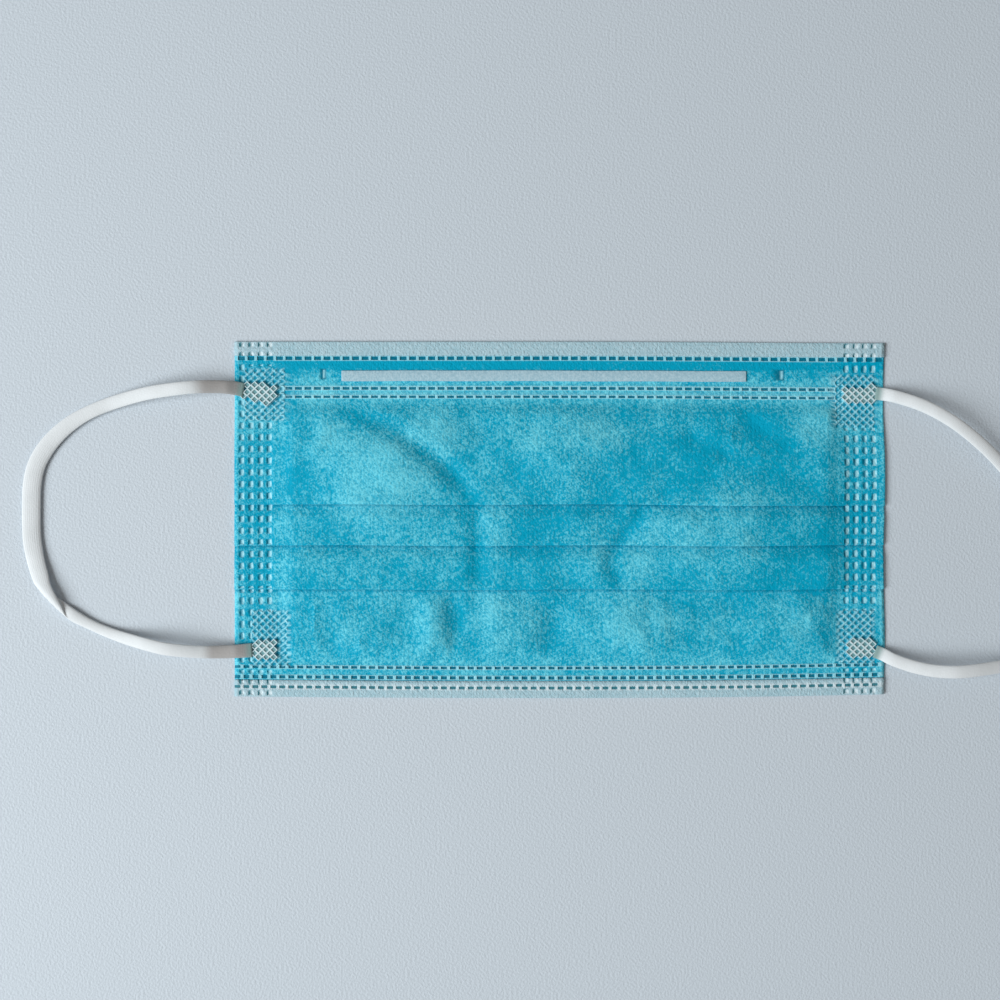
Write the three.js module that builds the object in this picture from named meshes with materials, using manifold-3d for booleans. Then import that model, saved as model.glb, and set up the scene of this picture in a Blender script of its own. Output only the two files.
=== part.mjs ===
import * as THREE from 'three';
import { mergeVertices } from 'three/addons/utils/BufferGeometryUtils.js';
import Module from 'manifold-3d';

// A pleated three-ply face mask with ear loops, lying flat with its outer face up.
// X runs along the mask, +Y points to its nose edge and +Z up from the surface that it lies on.
// The origin is in the middle of the panel, on that surface. All lengths are in millimetres.

// Panel
const panelLength = 175;
const panelWidth = 95.5;
const clothWall = 1; // the bonded plies together
const layerGap = 0.3; // air between two runs of cloth, and under a piece that is laid on them

// Pleats
const firstPleatFromNose = 43.9; // from the nose edge to the first front fold
const firstPleatDepth = 13; // how far the cloth runs back behind that fold
const pleatPitch = 11.4; // from one front fold to the next, on average
const climbAngle = 42; // degrees, where a panel climbs over the pleat behind it

// Side seals
const sealWidth = 10.7;
const sealRamp = 1.6; // the slope between the loose stack and the pressed seal
const sealPressing = 0.45; // share of the stack's extra height that the pressing leaves

// Hems
const topHemWidth = 3.8;
const bottomHemWidth = 4.5;

// Nose strip
const stripLength = 109;
const stripWidth = 2.9;
const stripThickness = 0.9;
const stripFromNose = 9.2; // from the nose edge to the strip's middle line
const stripShift = -4.2; // the strip sits off the panel's middle

// Loop ends
const weldLength = 8.6;
const weldWidth = 4.4;
const weldThickness = 1;
const bandWidth = 3.8;
const bandThickness = 1.2;
const bandSteps = 76;

// Loose cloth
const swellRise = 2.1; // the highest swelling
const looseSpacing = 4.5; // between the section's points on cloth that swells
const hiddenSpacing = 8; // and on flat cloth under a pleat

// The front folds. after is the distance past the first front fold, as a share of pleatPitch.
// fill is the share of the room behind the fold that the hidden run takes.
const pleats = [
  { after: 0, fill: 1 },
  { after: 0.96, fill: 0.97 },
  { after: 2, fill: 0.97 },
];

// Swellings of the loose cloth between the seals. along and reachAlong are shares of panelLength from the
// middle, across and reachAcross shares of panelWidth, rise a share of swellRise.
const swellings = [
  { along: -0.268, across: 0.138, reachAlong: 0.146, reachAcross: 0.21, rise: 1 },
  { along: 0.25, across: -0.03, reachAlong: 0.17, reachAcross: 0.225, rise: 0.9 },
  { along: 0.01, across: 0.22, reachAlong: 0.11, reachAcross: 0.15, rise: 0.5 },
  { along: 0.06, across: -0.11, reachAlong: 0.075, reachAcross: 0.1, rise: 0.35 },
  { along: -0.3, across: -0.33, reachAlong: 0.06, reachAcross: 0.09, rise: 0.4 },
  { along: -0.19, across: -0.31, reachAlong: 0.06, reachAcross: 0.12, rise: 0.55 },
  { along: -0.085, across: -0.31, reachAlong: 0.07, reachAcross: 0.12, rise: 0.65 },
  { along: 0.14, across: -0.31, reachAlong: 0.11, reachAcross: 0.12, rise: 0.6 },
  { along: 0.35, across: -0.3, reachAlong: 0.08, reachAcross: 0.12, rise: 0.55 },
];

// The flattened loop ends. side is -1 on the left. inset is the distance from the side edge to the outer end,
// a share of panelLength, and down the distance from the nose edge to that end, a share of panelWidth.
// long is a share of weldLength, slant is in degrees.
const welds = [
  { name: 'upper_left_weld', side: -1, inset: 0.018, down: 0.134, long: 1.04, slant: -15 },
  { name: 'lower_left_weld', side: -1, inset: 0.03, down: 0.869, long: 0.76, slant: 0 },
  { name: 'upper_right_weld', side: 1, inset: 0.016, down: 0.146, long: 1.12, slant: 2 },
  { name: 'lower_right_weld', side: 1, inset: 0.022, down: 0.868, long: 0.86, slant: 3 },
];

// The loops' routes, from the upper weld round to the lower one. A row holds x, y and z of the band's middle
// line and its roll in degrees, which lifts the edge on the left hand of the way.
const leftRoute = [
  [-84.9, 34.7, 1.9, 0],
  [-87.8, 35.2, 2.3, 0],
  [-91.6, 35.4, 3.3, 0],
  [-95.5, 35.3, 4.5, 0],
  [-99.3, 35.0, 5.2, 0],
  [-103.8, 34.5, 5, 0],
  [-109.2, 33.8, 3.9, 2],
  [-115.0, 32.6, 2.4, 3],
  [-121.0, 30.9, 1.3, 4],
  [-126.3, 28.8, 1, 5],
  [-131.0, 26.1, 0.95, 7],
  [-135.0, 22.8, 0.95, 8],
  [-138.4, 18.8, 0.97, 10],
  [-140.8, 14.3, 0.97, 10],
  [-141.9, 9.3, 0.97, 10],
  [-142.1, 4.1, 0.97, 10],
  [-142.1, -1.5, 0.97, 10],
  [-141.8, -6.5, 1, 8],
  [-140.7, -11.8, 1.2, 6],
  [-139.2, -16.4, 1.55, 2],
  [-138.1, -19.4, 1.85, 0],
  [-136.1, -22.9, 2.25, 90],
  [-133.0, -24.7, 1.7, 180],
  [-129.9, -26.5, 1.05, 180],
  [-126.5, -28.3, 0.85, 180],
  [-123.2, -29.8, 0.9, 180],
  [-119.4, -31.2, 1.3, 180],
  [-115.0, -32.4, 2.6, 180],
  [-110.2, -33.5, 4.2, 180],
  [-105.4, -34.5, 5, 180],
  [-100.6, -35.1, 4.6, 180],
  [-95.6, -35.5, 3.6, 180],
  [-90.8, -35.6, 2.6, 180],
  [-86.6, -35.5, 2.05, 180],
  [-82.6, -35.3, 1.9, 180],
];
const rightRoute = [
  [85.0, 33.8, 1.9, 0],
  [88.0, 33.3, 2.3, 0],
  [91.8, 32.2, 3.2, 0],
  [96.3, 30.5, 4.3, 0],
  [100.7, 28.2, 5.3, 0],
  [105.2, 25.3, 5.8, 0],
  [110.0, 21.7, 5.4, 0],
  [114.8, 17.7, 4.3, 0],
  [118.7, 14.0, 3.1, 0],
  [124.3, 8.1, 1.7, -4],
  [130.2, 1.1, 1.3, -8],
  [135.6, -6.3, 1.3, -12],
  [139.6, -14.6, 1.3, -12],
  [140.6, -23.0, 1.3, -12],
  [137.8, -31.0, 1.3, -10],
  [131.5, -36.6, 1.4, -6],
  [124.8, -38.9, 2.2, 0],
  [118.0, -39.4, 3.7, 0],
  [111.0, -40.2, 5.2, 0],
  [105.3, -40.6, 5.8, 0],
  [99.8, -40.4, 5.2, 0],
  [94.4, -39.4, 4.0, 0],
  [89.4, -37.7, 2.8, 0],
  [86.9, -36.4, 2.2, 0],
  [84.9, -35.6, 1.9, 0],
];

const colours = { blue: 0x3aa5c6, white: 0xdfe6ea, strip: 0xe9edef, band: 0xf1f2f1 };

// Heights of the middle of the cloth in a stack of three runs, and the size of a fold
const levelStep = clothWall + layerGap;
const lowLevel = clothWall / 2;
const midLevel = lowLevel + levelStep;
const topLevel = midLevel + levelStep;
const foldRadius = levelStep / 2; // of the cloth's middle
const foldReach = foldRadius + clothWall / 2; // from a fold's axis to its outside
const arcSteps = 4;

const noseEdge = panelWidth / 2;
const chinEdge = -panelWidth / 2;
const edgeWall = clothWall + layerGap; // a hem's turned edge and the gap inside it

// A panel climbs over the pleat behind it on an arc round that pleat's back fold and a straight slope.
const climbRadius = foldReach + layerGap + clothWall / 2;
const slope = THREE.MathUtils.degToRad(climbAngle);
const backAxis = lowLevel + foldRadius; // height of a back fold's axis
const slopeTop = { out: climbRadius * Math.sin(slope), z: backAxis + climbRadius * Math.cos(slope) };
const slopeOut = slopeTop.out + (slopeTop.z - lowLevel) / Math.tan(slope); // axis to the slope's foot
const climbLength = slopeOut - foldReach;

// Where each pleat folds, from its front edge to its back one
function placedPleats() {
  const firstFront = noseEdge - firstPleatFromNose;
  const fronts = pleats.map(({ after }) => firstFront - after * pleatPitch);
  return pleats.map(({ fill }, index) => {
    const front = fronts[index];
    const room = index === 0 ? firstPleatDepth : fronts[index - 1] - front - climbLength;
    return { front, back: front + fill * room };
  });
}

// Points on an arc of the cloth's middle line. free is the share of the swellings that the cloth follows.
function foldArc(axisY, axisZ, radius, from, to, freeFrom, freeTo) {
  const points = [];
  for (let i = 0; i <= arcSteps; i += 1) {
    const share = i / arcSteps;
    const angle = THREE.MathUtils.degToRad(THREE.MathUtils.lerp(from, to, share));
    points.push({
      y: axisY + radius * Math.cos(angle),
      z: axisZ + radius * Math.sin(angle),
      free: THREE.MathUtils.lerp(freeFrom, freeTo, share),
    });
  }
  return points;
}

// A flat run from one y to another, without its two ends. A freer run has more points.
function flatRun(fromY, toY, z, free) {
  const spacing = free > 0 ? looseSpacing : hiddenSpacing;
  const count = Math.max(1, Math.round(Math.abs(toY - fromY) / spacing));
  const points = [];
  for (let i = 1; i < count; i += 1) {
    points.push({ y: THREE.MathUtils.lerp(fromY, toY, i / count), z, free });
  }
  return points;
}

// The cloth's middle line in the YZ plane, from the nose edge to the chin edge
function clothLine() {
  const line = [{ y: noseEdge - edgeWall, z: lowLevel, free: 0 }];
  let lastY = noseEdge - edgeWall;
  for (const { front, back } of placedPleats()) {
    const backY = back - foldReach;
    const frontY = front + foldReach;
    const footY = backY + slopeOut;
    const underFold = line.length > 1;
    line.push(...flatRun(lastY, footY, lowLevel, underFold ? 0 : 1));
    line.push({ y: footY, z: lowLevel, free: underFold ? 0 : 1 });
    line.push(...foldArc(backY, backAxis, climbRadius, 90 - climbAngle, 90, underFold ? 0.7 : 1, 1));
    line.push(...flatRun(backY, frontY, topLevel, 1));
    line.push(...foldArc(frontY, topLevel - foldRadius, foldRadius, 90, 270, 1, 0));
    line.push(...foldArc(backY, backAxis, foldRadius, 90, -90, 0, 0));
    lastY = backY;
  }
  const lastFront = placedPleats().at(-1).front;
  const endY = chinEdge + edgeWall;
  line.push(...flatRun(lastY, lastFront, lowLevel, 0));
  line.push({ y: lastFront, z: lowLevel, free: 0 });
  line.push(...flatRun(lastFront, endY, lowLevel, 1));
  line.push({ y: endY, z: lowLevel, free: 0 });
  return line;
}

// The outline of the cloth's section: each point of the middle line set off to both faces.
// Each outline point keeps the y and the freedom of the middle line under it.
function clothOutline() {
  const line = clothLine();
  const outer = [];
  const inner = [];
  line.forEach((point, index) => {
    const before = line[Math.max(index - 1, 0)];
    const after = line[Math.min(index + 1, line.length - 1)];
    const wayIn = new THREE.Vector2(point.y - before.y, point.z - before.z);
    const wayOut = new THREE.Vector2(after.y - point.y, after.z - point.z);
    if (index === 0) wayIn.copy(wayOut);
    if (index === line.length - 1) wayOut.copy(wayIn);
    wayIn.normalize();
    wayOut.normalize();
    const way = wayIn.clone().add(wayOut).normalize();
    const reach = clothWall / 2 / Math.max(way.dot(wayIn), 0.5);
    for (const [list, side] of [[outer, 1], [inner, -1]]) {
      list.push({
        at: new THREE.Vector2(point.y - side * way.y * reach, point.z + side * way.x * reach),
        lineY: point.y,
        free: point.free,
      });
    }
  });
  return [...outer, ...inner.reverse()];
}

function swell(x, y) {
  let rise = 0;
  for (const row of swellings) {
    const u = (x / panelLength - row.along) / row.reachAlong;
    const v = (y / panelWidth - row.across) / row.reachAcross;
    const fade = Math.max(0, 1 - u * u - v * v);
    rise += row.rise * swellRise * fade * fade;
  }
  return rise;
}

// Turns an extrusion so that its section stands in the YZ plane and its depth runs along +X from startX.
function alongX(geometry, startX) {
  const turn = new THREE.Matrix4().makeBasis(
    new THREE.Vector3(0, 1, 0),
    new THREE.Vector3(0, 0, 1),
    new THREE.Vector3(1, 0, 0),
  );
  geometry.applyMatrix4(turn);
  geometry.translate(startX, 0, 0);
  return geometry;
}

const wasm = await Module();
wasm.setup();

function toManifold(geometry) {
  const bare = geometry.clone();
  for (const name of Object.keys(bare.attributes)) {
    if (name !== 'position') bare.deleteAttribute(name);
  }
  const merged = mergeVertices(bare, 1e-4);
  return new wasm.Manifold(new wasm.Mesh({
    numProp: 3,
    vertProperties: new Float32Array(merged.attributes.position.array),
    triVerts: new Uint32Array(merged.index.array),
  }));
}

function fromManifold(solid) {
  const mesh = solid.getMesh();
  const geometry = new THREE.BufferGeometry();
  geometry.setAttribute('position', new THREE.BufferAttribute(new Float32Array(mesh.vertProperties), 3));
  geometry.setIndex(new THREE.BufferAttribute(new Uint32Array(mesh.triVerts), 1));
  geometry.computeVertexNormals();
  return geometry;
}

// The loose folded cloth between the seals
function looseCloth() {
  const stations = 30;
  const overlap = sealRamp / 4;
  const halfLength = panelLength / 2 - sealWidth + overlap;
  const outline = clothOutline();
  const section = new THREE.Shape(outline.map((row) => row.at));
  const geometry = alongX(
    new THREE.ExtrudeGeometry(section, { depth: 2 * halfLength, steps: stations, bevelEnabled: false }),
    -halfLength,
  );
  const position = geometry.attributes.position;
  for (let i = 0; i < position.count; i += 1) {
    const place = new THREE.Vector2(position.getY(i), position.getZ(i));
    const away = outline.map((row) => place.distanceToSquared(row.at));
    const row = outline[away.indexOf(Math.min(...away))];
    position.setZ(i, position.getZ(i) + row.free * swell(position.getX(i), row.lineY));
  }
  return geometry;
}

// The top of the stack of runs, from the nose edge to the chin edge
function stackTop() {
  const singleTop = clothWall;
  const tripleTop = topLevel + clothWall / 2;
  const points = [new THREE.Vector2(noseEdge - edgeWall, singleTop)];
  for (const { front, back } of placedPleats()) {
    points.push(new THREE.Vector2(back + climbLength, singleTop));
    points.push(new THREE.Vector2(back - foldReach, tripleTop));
    points.push(new THREE.Vector2(front + foldRadius, tripleTop));
    points.push(new THREE.Vector2(front, topLevel - foldRadius));
    points.push(new THREE.Vector2(front, singleTop));
  }
  points.push(new THREE.Vector2(chinEdge + edgeWall, singleTop));
  return points;
}

// A side seal: all runs pressed and bonded into one. side is -1 on the left.
function sideSeal(side) {
  const top = stackTop();
  const bottom = [new THREE.Vector2(chinEdge + edgeWall, 0), new THREE.Vector2(noseEdge - edgeWall, 0)];
  const outline = [...top, ...bottom];
  const shoulder = sealRamp / 2;
  const innerX = panelLength / 2 - sealWidth;
  const outerX = panelLength / 2;
  const stationsX = [innerX, innerX + shoulder, innerX + shoulder + sealRamp, outerX];
  const geometry = alongX(
    new THREE.ExtrudeGeometry(new THREE.Shape(outline), {
      depth: stationsX.length - 1,
      steps: stationsX.length - 1,
      bevelEnabled: false,
    }),
    0,
  );
  const position = geometry.attributes.position;
  for (let i = 0; i < position.count; i += 1) {
    const station = Math.round(position.getX(i));
    const place = side < 0 ? stationsX.length - 1 - station : station;
    const z = position.getZ(i);
    const pressed = place > 1 && z > clothWall ? clothWall + (z - clothWall) * sealPressing : z;
    position.setXYZ(i, side * stationsX[place], position.getY(i), pressed);
  }
  return geometry;
}

function pleatedBody() {
  const cloth = toManifold(looseCloth());
  return fromManifold(cloth.add(toManifold(sideSeal(-1))).add(toManifold(sideSeal(1))));
}

// The inner ply turned over an edge: a short wall down to the surface and a flap on the front.
// inward is the way from the edge to the middle of the panel.
function hem(edgeY, inward, width) {
  const flapUnder = clothWall + layerGap;
  const flapTop = flapUnder + clothWall;
  const section = new THREE.Shape();
  section.moveTo(edgeY, 0);
  section.lineTo(edgeY, flapTop - clothWall);
  section.quadraticCurveTo(edgeY, flapTop, edgeY + inward * clothWall, flapTop);
  section.lineTo(edgeY + inward * width, flapTop);
  section.lineTo(edgeY + inward * width, flapUnder);
  section.lineTo(edgeY + inward * clothWall, flapUnder);
  section.lineTo(edgeY + inward * clothWall, 0);
  section.closePath();
  return alongX(
    new THREE.ExtrudeGeometry(section, { depth: panelLength, curveSegments: arcSteps, bevelEnabled: false }),
    -panelLength / 2,
  );
}

// A flat bar with rounded corners, whose underside is at z = 0 and whose first end is at x = 0
function roundedBar(length, width, thickness, corner) {
  const half = width / 2;
  const outline = new THREE.Shape();
  outline.moveTo(corner, -half);
  outline.lineTo(length - corner, -half);
  outline.quadraticCurveTo(length, -half, length, -half + corner);
  outline.lineTo(length, half - corner);
  outline.quadraticCurveTo(length, half, length - corner, half);
  outline.lineTo(corner, half);
  outline.quadraticCurveTo(0, half, 0, half - corner);
  outline.lineTo(0, -half + corner);
  outline.quadraticCurveTo(0, -half, corner, -half);
  const settings = { depth: thickness, curveSegments: arcSteps, bevelEnabled: false };
  return new THREE.ExtrudeGeometry(outline, settings);
}

// A band's middle line. Its frames stay level across the way, turned by the route's roll.
class BandRoute extends THREE.CatmullRomCurve3 {
  constructor(route) {
    super(route.map(([x, y, z]) => new THREE.Vector3(x, y, z)));
    this.rolls = route.map((row) => row[3]);
  }

  rollAt(share) {
    const place = this.getUtoTmapping(share) * (this.rolls.length - 1);
    const first = Math.min(Math.floor(place), this.rolls.length - 2);
    const roll = THREE.MathUtils.lerp(this.rolls[first], this.rolls[first + 1], place - first);
    return THREE.MathUtils.degToRad(roll);
  }

  computeFrenetFrames(segments) {
    const frames = { tangents: [], normals: [], binormals: [] };
    for (let i = 0; i <= segments; i += 1) {
      const tangent = this.getTangentAt(i / segments);
      const side = new THREE.Vector3(0, 0, 1).cross(tangent).normalize();
      side.applyAxisAngle(tangent, this.rollAt(i / segments));
      frames.tangents.push(tangent);
      frames.normals.push(side);
      frames.binormals.push(tangent.clone().cross(side));
    }
    return frames;
  }
}

function earLoop(route) {
  const halfWidth = bandWidth / 2;
  const halfThickness = bandThickness / 2;
  const edge = bandThickness / 3; // the chamfer of the band's soft edge
  const section = new THREE.Shape([
    new THREE.Vector2(halfWidth, -halfThickness + edge),
    new THREE.Vector2(halfWidth, halfThickness - edge),
    new THREE.Vector2(halfWidth - edge, halfThickness),
    new THREE.Vector2(-halfWidth + edge, halfThickness),
    new THREE.Vector2(-halfWidth, halfThickness - edge),
    new THREE.Vector2(-halfWidth, -halfThickness + edge),
    new THREE.Vector2(-halfWidth + edge, -halfThickness),
    new THREE.Vector2(halfWidth - edge, -halfThickness),
  ]);
  return new THREE.ExtrudeGeometry(section, {
    steps: bandSteps,
    extrudePath: new BandRoute(route),
    bevelEnabled: false,
  });
}

const mask = new THREE.Group();

function addPiece(name, geometry, colour, roughness) {
  const material = new THREE.MeshStandardMaterial({ color: colour, roughness, metalness: 0 });
  const piece = new THREE.Mesh(geometry, material);
  piece.name = name;
  mask.add(piece);
  return piece;
}

addPiece('pleated_body', pleatedBody(), colours.blue, 0.85);
addPiece('top_hem', hem(noseEdge, -1, topHemWidth), colours.white, 0.9);
addPiece('bottom_hem', hem(chinEdge, 1, bottomHemWidth), colours.white, 0.9);

const laidHeight = clothWall + layerGap; // where a piece lies on single cloth

const stripBar = roundedBar(stripLength, stripWidth, stripThickness, stripWidth / 8);
const strip = addPiece('nose_strip', stripBar, colours.strip, 0.6);
strip.position.set(stripShift - stripLength / 2, noseEdge - stripFromNose, laidHeight);

for (const { name, side, inset, down, long, slant } of welds) {
  const bar = roundedBar(weldLength * long, weldWidth, weldThickness, weldWidth / 6);
  const pad = addPiece(name, bar, colours.band, 0.7);
  pad.position.set(side * (panelLength / 2 - inset * panelLength), noseEdge - down * panelWidth, laidHeight);
  pad.rotation.z = THREE.MathUtils.degToRad(side < 0 ? slant : 180 + slant);
}

addPiece('left_ear_loop', earLoop(leftRoute), colours.band, 0.75);
addPiece('right_ear_loop', earLoop(rightRoute), colours.band, 0.75);

export default mask;
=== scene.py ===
import math
import random

import bmesh
import bpy
import numpy as np
from mathutils import Matrix, Vector, noise


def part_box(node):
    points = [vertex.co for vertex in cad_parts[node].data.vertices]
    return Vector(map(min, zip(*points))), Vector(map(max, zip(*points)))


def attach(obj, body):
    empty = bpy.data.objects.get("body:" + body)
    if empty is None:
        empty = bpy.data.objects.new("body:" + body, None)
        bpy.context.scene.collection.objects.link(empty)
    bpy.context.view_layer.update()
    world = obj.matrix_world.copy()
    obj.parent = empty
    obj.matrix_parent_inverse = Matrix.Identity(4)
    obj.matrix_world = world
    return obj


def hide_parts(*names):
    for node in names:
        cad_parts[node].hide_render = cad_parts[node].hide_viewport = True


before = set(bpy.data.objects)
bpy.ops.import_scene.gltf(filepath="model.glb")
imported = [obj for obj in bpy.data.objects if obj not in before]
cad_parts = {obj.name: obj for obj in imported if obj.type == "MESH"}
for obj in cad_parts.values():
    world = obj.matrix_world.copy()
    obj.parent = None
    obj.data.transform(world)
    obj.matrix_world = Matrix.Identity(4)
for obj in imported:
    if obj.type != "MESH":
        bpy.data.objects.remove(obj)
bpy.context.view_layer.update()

mm = 0.001  # the tables below are in millimetres, the loops' routes and the fold's corner in metres
body = "root"

# camera, straight down
print("camera")
view = {"centre": (-16.0, 5.1), "frame": 268.4, "focusHeight": 2.0, "lens": 50, "sensor": 36}


def makeCamera():
    data = bpy.data.cameras.new("camera")
    data.lens = view["lens"]
    data.sensor_width = view["sensor"]
    data.clip_start = 0.01
    camera = bpy.data.objects.new("camera", data)
    distance = view["frame"] * view["lens"] / view["sensor"] + view["focusHeight"]
    camera.location = Vector((*view["centre"], distance)) * mm
    bpy.context.collection.objects.link(camera)
    bpy.context.scene.camera = camera


makeCamera()

# small tools


def ease(share):
    share = np.clip(share, 0, 1)
    return share * share * (3 - 2 * share)


def meshFrom(bm, name, smooth=True):
    mesh = bpy.data.meshes.new(name)
    bm.to_mesh(mesh)
    bm.free()
    mesh.shade_smooth() if smooth else mesh.shade_flat()
    piece = bpy.data.objects.new(name, mesh)
    bpy.context.collection.objects.link(piece)
    return piece


def setPiece(piece, slotName, material, *nodes):
    piece.data.materials.clear()
    piece.data.materials.append(material)
    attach(piece, body)
    if nodes:
        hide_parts(*nodes)


def addNode(tree, kind, inputs=None, **settings):
    node = tree.nodes.new(kind)
    for name, value in settings.items():
        setattr(node, name, value)
    for name, value in (inputs or {}).items():
        if isinstance(value, bpy.types.NodeSocket):
            tree.links.new(value, node.inputs[name])
        else:
            node.inputs[name].default_value = value
    return node


def calc(tree, operation, first, second=0.0, third=None, clamp=False):
    inputs = {0: first, 1: second}
    if third is not None:
        inputs[2] = third
    return addNode(tree, "ShaderNodeMath", inputs, operation=operation, use_clamp=clamp).outputs[0]


def mixColours(tree, share, first, second):
    node = addNode(tree, "ShaderNodeMix", {0: share, 6: first, 7: second}, data_type="RGBA")
    return node.outputs[2]


def newMaterial(name, roughness, specular, sheen=0.0, sheenRoughness=0.5):
    material = bpy.data.materials.new(name)
    material.use_nodes = True
    tree = material.node_tree
    shader = tree.nodes["Principled BSDF"]
    shader.inputs["Roughness"].default_value = roughness
    shader.inputs["Specular IOR Level"].default_value = specular
    shader.inputs["Sheen Weight"].default_value = sheen
    shader.inputs["Sheen Roughness"].default_value = sheenRoughness
    return material, tree, shader


def placeInMm(tree):
    place = addNode(tree, "ShaderNodeTexCoord").outputs["Object"]
    scaled = addNode(tree, "ShaderNodeVectorMath", {0: place, "Scale": 1 / mm}, operation="SCALE")
    return scaled.outputs[0]


def attribute(tree, name):
    return addNode(tree, "ShaderNodeAttribute", attribute_name=name).outputs["Fac"]


def addBump(tree, shader, height, distance, strength=1.0):
    bump = addNode(tree, "ShaderNodeBump", {"Height": height, "Distance": distance, "Strength": strength})
    tree.links.new(bump.outputs[0], shader.inputs["Normal"])


# ear loops
print("ear loops")
band = {
    "width": 3.8,
    "thickness": 1.35,
    "sides": 24,
    "step": 0.6,
    "edgePower": 2.0,
    "finePoints": 24,  # between two rows of a route, before the even steps
    "endTaper": 5.0,
    "endThin": 0.35,  # share of the thickness at the very end
    "endSink": 0.8,
    "bondedReach": 0.6,
    "bondedEdge": 2.0,
    "paintedShadeReach": 10.0,  # the left band's ends are darkened by painted shade over this length
    "paintedShadeEdge": 4.0,
}
crease = {
    "corner": (-0.1361, -0.0229),  # in metres, where the middle lines of the two strands would meet
    "bendGap": 0.03,  # between the band and the line that it turns round
    "lift": 0.02,  # of the fold from the table
    "steep": 60.0,  # degrees below the horizontal, above the crease
    "flat": 30.0,  # and below it
    "reach": (1.5, 9.0),  # the strands turn from their own lie to the fold's over this stretch
}

# x, y and z of the band's middle line in metres, its roll in degrees, and its width as a share of the band's
leftRoute = [
    (-0.0849, 0.0347, 0.00190, 0, 1),
    (-0.0878, 0.0352, 0.00230, 0, 0.95),
    (-0.0916, 0.0354, 0.00330, 0, 0.92),
    (-0.0955, 0.0353, 0.00450, 0, 0.92),
    (-0.0993, 0.0350, 0.00520, 0, 0.92),
    (-0.1038, 0.0345, 0.00500, 0, 0.94),
    (-0.1092, 0.0338, 0.00390, 2, 0.95),
    (-0.1150, 0.0326, 0.00240, 3, 0.96),
    (-0.1210, 0.0309, 0.00130, 4, 0.98),
    (-0.1263, 0.0288, 0.00100, 5, 1),
    (-0.1310, 0.0261, 0.00095, 2, 1.1),
    (-0.1350, 0.0228, 0.00095, 0, 1.18),
    (-0.1384, 0.0188, 0.00097, -4, 1.25),
    (-0.1408, 0.0143, 0.00097, -5, 1.28),
    (-0.1419, 0.0093, 0.00097, -5, 1.3),
    (-0.1421, 0.0041, 0.00097, -5, 1.3),
    (-0.1421, -0.0015, 0.00097, -5, 1.3),
    (-0.1418, -0.0065, 0.00100, -5, 1.3),
    (-0.1407, -0.0118, 0.00120, -2, 1.25),
    (-0.1392, -0.0164, 0.00155, 0, 1.2),
    (-0.1381, -0.0194, 0.00185, 0, 1.12),
    (-0.1361, -0.0229, 0.00225, 90, 1.05),
    (-0.1330, -0.0247, 0.00170, 180, 0.95),
    (-0.1299, -0.0265, 0.00105, 180, 0.85),
    (-0.1265, -0.0283, 0.00085, 180, 0.75),
    (-0.1232, -0.0298, 0.00090, 180, 0.75),
    (-0.1194, -0.0312, 0.00130, 180, 0.8),
    (-0.1150, -0.0324, 0.00260, 180, 0.85),
    (-0.1102, -0.0335, 0.00420, 180, 0.88),
    (-0.1054, -0.0345, 0.00500, 180, 0.9),
    (-0.1006, -0.0351, 0.00460, 180, 0.9),
    (-0.0956, -0.0355, 0.00360, 180, 0.9),
    (-0.0908, -0.0356, 0.00260, 180, 0.92),
    (-0.0866, -0.0355, 0.00205, 180, 0.95),
    (-0.0826, -0.0353, 0.00190, 180, 1),
]
rightRoute = [
    (0.0850, 0.0338, 0.0019, 0, 0.9),
    (0.0880, 0.0333, 0.0023, 0, 0.9),
    (0.0918, 0.0322, 0.0032, 0, 0.9),
    (0.0963, 0.0305, 0.0043, 0, 0.9),
    (0.1007, 0.0282, 0.0053, 0, 0.9),
    (0.1052, 0.0253, 0.0058, 0, 0.9),
    (0.1100, 0.0217, 0.0054, 0, 0.9),
    (0.1148, 0.0177, 0.0043, 0, 0.9),
    (0.1187, 0.0140, 0.0031, 0, 0.9),
    (0.1243, 0.0081, 0.0017, -4, 0.9),
    (0.1302, 0.0011, 0.0013, -8, 0.9),
    (0.1356, -0.0063, 0.0013, -12, 0.9),
    (0.1396, -0.0146, 0.0013, -12, 0.9),
    (0.1406, -0.0230, 0.0013, -12, 0.9),
    (0.1378, -0.0310, 0.0013, -10, 0.9),
    (0.1315, -0.0366, 0.0014, -6, 0.9),
    (0.1248, -0.0389, 0.0022, 0, 0.9),
    (0.1180, -0.0394, 0.0037, 0, 0.9),
    (0.1110, -0.0402, 0.0052, 0, 0.9),
    (0.1053, -0.0406, 0.0058, 0, 0.9),
    (0.0998, -0.0404, 0.0052, 0, 0.9),
    (0.0944, -0.0394, 0.0040, 0, 0.9),
    (0.0894, -0.0377, 0.0028, 0, 0.9),
    (0.0869, -0.0364, 0.0022, 0, 0.9),
    (0.0849, -0.0356, 0.0019, 0, 0.9),
]


# A smooth line through the rows of a route, at even steps: places in millimetres, rolls, distances
def smoothRoute(route, step):
    rows = np.array(route)
    rows[:, :3] /= mm
    padded = np.vstack([2 * rows[0] - rows[1], rows, 2 * rows[-1] - rows[-2]])
    fine = []
    shares = np.linspace(0, 1, band["finePoints"], endpoint=False)[:, None]
    for a, b, c, d in zip(padded, padded[1:], padded[2:], padded[3:]):
        curve = 2 * b + (c - a) * shares + (2 * a - 5 * b + 4 * c - d) * shares**2
        fine.append(0.5 * (curve + (3 * b - a - 3 * c + d) * shares**3))
    fine = np.vstack([*fine, rows[-1:]])
    travelled = np.concatenate([[0], np.cumsum(np.linalg.norm(np.diff(fine[:, :3], axis=0), axis=1))])
    count = round(travelled[-1] / step)
    even = np.linspace(0, travelled[-1], count + 1)
    return np.stack([np.interp(even, travelled, column) for column in fine.T], axis=1), even


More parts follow.
